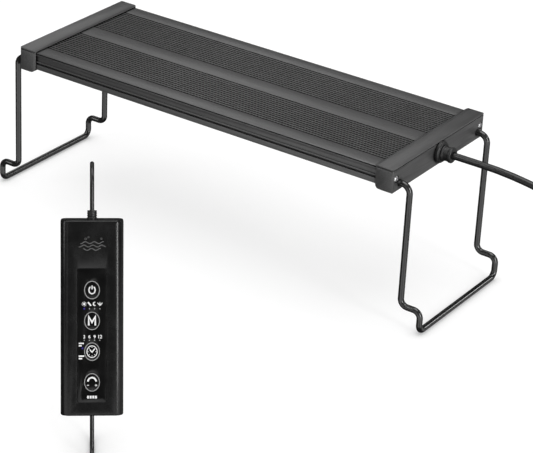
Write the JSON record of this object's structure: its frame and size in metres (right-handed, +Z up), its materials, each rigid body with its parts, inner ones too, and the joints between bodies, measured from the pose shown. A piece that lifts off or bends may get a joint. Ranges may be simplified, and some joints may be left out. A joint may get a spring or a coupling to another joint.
{
  "type": "led aquarium light",
  "caption": "Low aluminium LED light bar with ribbed top, end caps and sliding wire tank brackets, with an inline push-button controller on its lead.",
  "frame": {"origin": "middle of the lens's outer face, where the light comes out; the brackets stand 99.65 mm below it", "axes": "+Z up, +X towards the end with the cable gland, +Y towards the rear side, away from the controller"},
  "size_m": [0.4841, 0.3672, 0.1553],
  "materials": {
    "anodised_body": "black anodised, fine brushed grain along the body",
    "cap_plastic": "satin black moulded plastic with fine streaks on the top",
    "bracket_wire": "gloss black powder coat on steel wire",
    "screw_steel": "zinc plated",
    "black_rubber": "matte",
    "cable_jacket": "smooth black jacket, semi-gloss",
    "red_jacket": "satin",
    "clear_acrylic": "clear, polished",
    "led_board_white": "white solder mask",
    "circuit_board": "green solder mask",
    "chip_plastic": "matte moulded epoxy",
    "case_plastic": "fine satin texture",
    "panel_gloss": "gloss overlay film",
    "nickel": "nickel plated"
  },
  "bodies": {
    "light": {"cap_screw_left_front": "screw_steel", "cap_screw_left_rear": "screw_steel", "cap_screw_right_front": "screw_steel", "cap_screw_right_rear": "screw_steel", "case_screw_lower_left": "screw_steel", "case_screw_lower_right": "screw_steel", "case_screw_upper_left": "screw_steel", "case_screw_upper_right": "screw_steel", "control_chip": "chip_plastic", "control_panel": "panel_gloss", "controller_back_shell": "case_plastic", "controller_board": "circuit_board", "controller_front_shell": "case_plastic", "controller_lead": "cable_jacket", "dimmer_switch": "chip_plastic", "end_cap_left": "cap_plastic", "end_cap_right": "cap_plastic", "end_gasket_left": "black_rubber", "end_gasket_right": "black_rubber", "gland_body": "black_rubber", "gland_nut": "nickel", "heatsink_body": "anodised_body", "inline_plug": "cable_jacket", "inline_plug_barrel": "nickel", "inline_socket": "cable_jacket", "lead_negative": "cable_jacket", "lead_positive": "red_jacket", "led_board": "led_board_white", "lens_panel": "clear_acrylic", "lens_seal_front": "black_rubber", "lens_seal_rear": "black_rubber", "light_cable": "cable_jacket", "lower_lead_bush": "black_rubber", "mode_light_guide": "clear_acrylic", "mode_switch": "chip_plastic", "power_lead": "cable_jacket", "power_socket": "cable_jacket", "power_socket_pin": "nickel", "power_socket_sleeve": "nickel", "power_switch": "chip_plastic", "strain_relief": "black_rubber", "timer_light_guide": "clear_acrylic", "timer_switch": "chip_plastic", "upper_lead_bush": "black_rubber"},
    "left_bracket": {"bracket_left": "bracket_wire"},
    "right_bracket": {"bracket_right": "bracket_wire"},
    "power_button_cap": {"power_button": "panel_gloss"},
    "mode_button_cap": {"mode_button": "panel_gloss"},
    "timer_button_cap": {"timer_button": "panel_gloss"},
    "dimmer_button_cap": {"dimmer_button": "panel_gloss"}
  },
  "joints": [
    {"name": "left_bracket_slide", "type": "slide", "parent": "light", "child": "left_bracket", "axis": [-1, 0, 0], "range_m": [0, 0.075]},
    {"name": "right_bracket_slide", "type": "slide", "parent": "light", "child": "right_bracket", "axis": [1, 0, 0], "range_m": [0, 0.075]},
    {"name": "power_button_press", "type": "slide", "parent": "light", "child": "power_button_cap", "axis": [-0.5736, 0.7251, -0.3811], "range_m": [0, 0.0004], "stiffness_N_per_m": 800},
    {"name": "mode_button_press", "type": "slide", "parent": "light", "child": "mode_button_cap", "axis": [-0.5736, 0.7251, -0.3811], "range_m": [0, 0.0004], "stiffness_N_per_m": 800},
    {"name": "timer_button_press", "type": "slide", "parent": "light", "child": "timer_button_cap", "axis": [-0.5736, 0.7251, -0.3811], "range_m": [0, 0.0004], "stiffness_N_per_m": 800},
    {"name": "dimmer_button_press", "type": "slide", "parent": "light", "child": "dimmer_button_cap", "axis": [-0.5736, 0.7251, -0.3811], "range_m": [0, 0.0004], "stiffness_N_per_m": 800}
  ]
}
